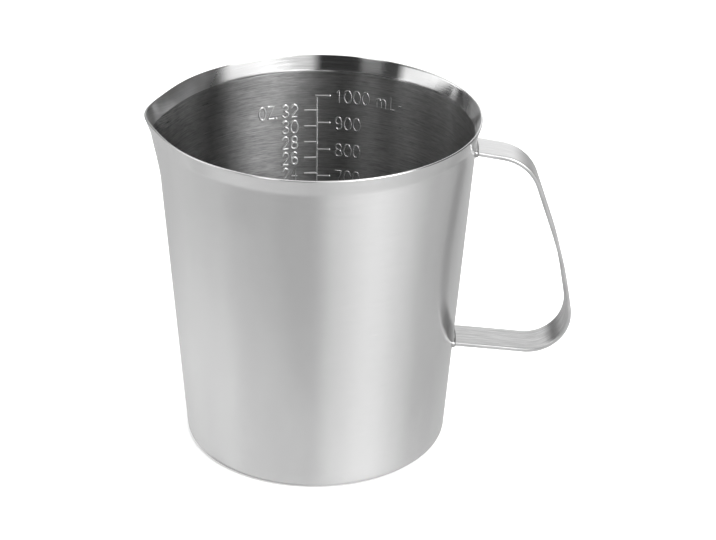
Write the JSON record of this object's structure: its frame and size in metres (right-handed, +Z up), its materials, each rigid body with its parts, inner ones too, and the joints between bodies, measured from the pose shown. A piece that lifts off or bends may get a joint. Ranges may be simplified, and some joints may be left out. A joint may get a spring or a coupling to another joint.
{
  "type": "measuring jug",
  "caption": "Tapered brushed-steel measuring jug with a flared rim, a soft pouring spout, a raised scale inside and an open strip handle.",
  "frame": {"origin": "middle of the resting face, on the jug's axis", "axes": "+Z up along the jug's axis, +X from the axis towards the handle, -X towards the spout, +Y towards the scale"},
  "size_m": [0.16, 0.1212, 0.1301],
  "materials": {
    "body_steel": "satin, brushed round the wall",
    "handle_steel": "satin, brushed along the strip",
    "weld_steel": "dressed weld bead"
  },
  "bodies": {
    "root": {"jug_body": "body_steel", "handle": "handle_steel", "upper_weld": "weld_steel", "lower_weld": "weld_steel"}
  },
  "joints": []
}
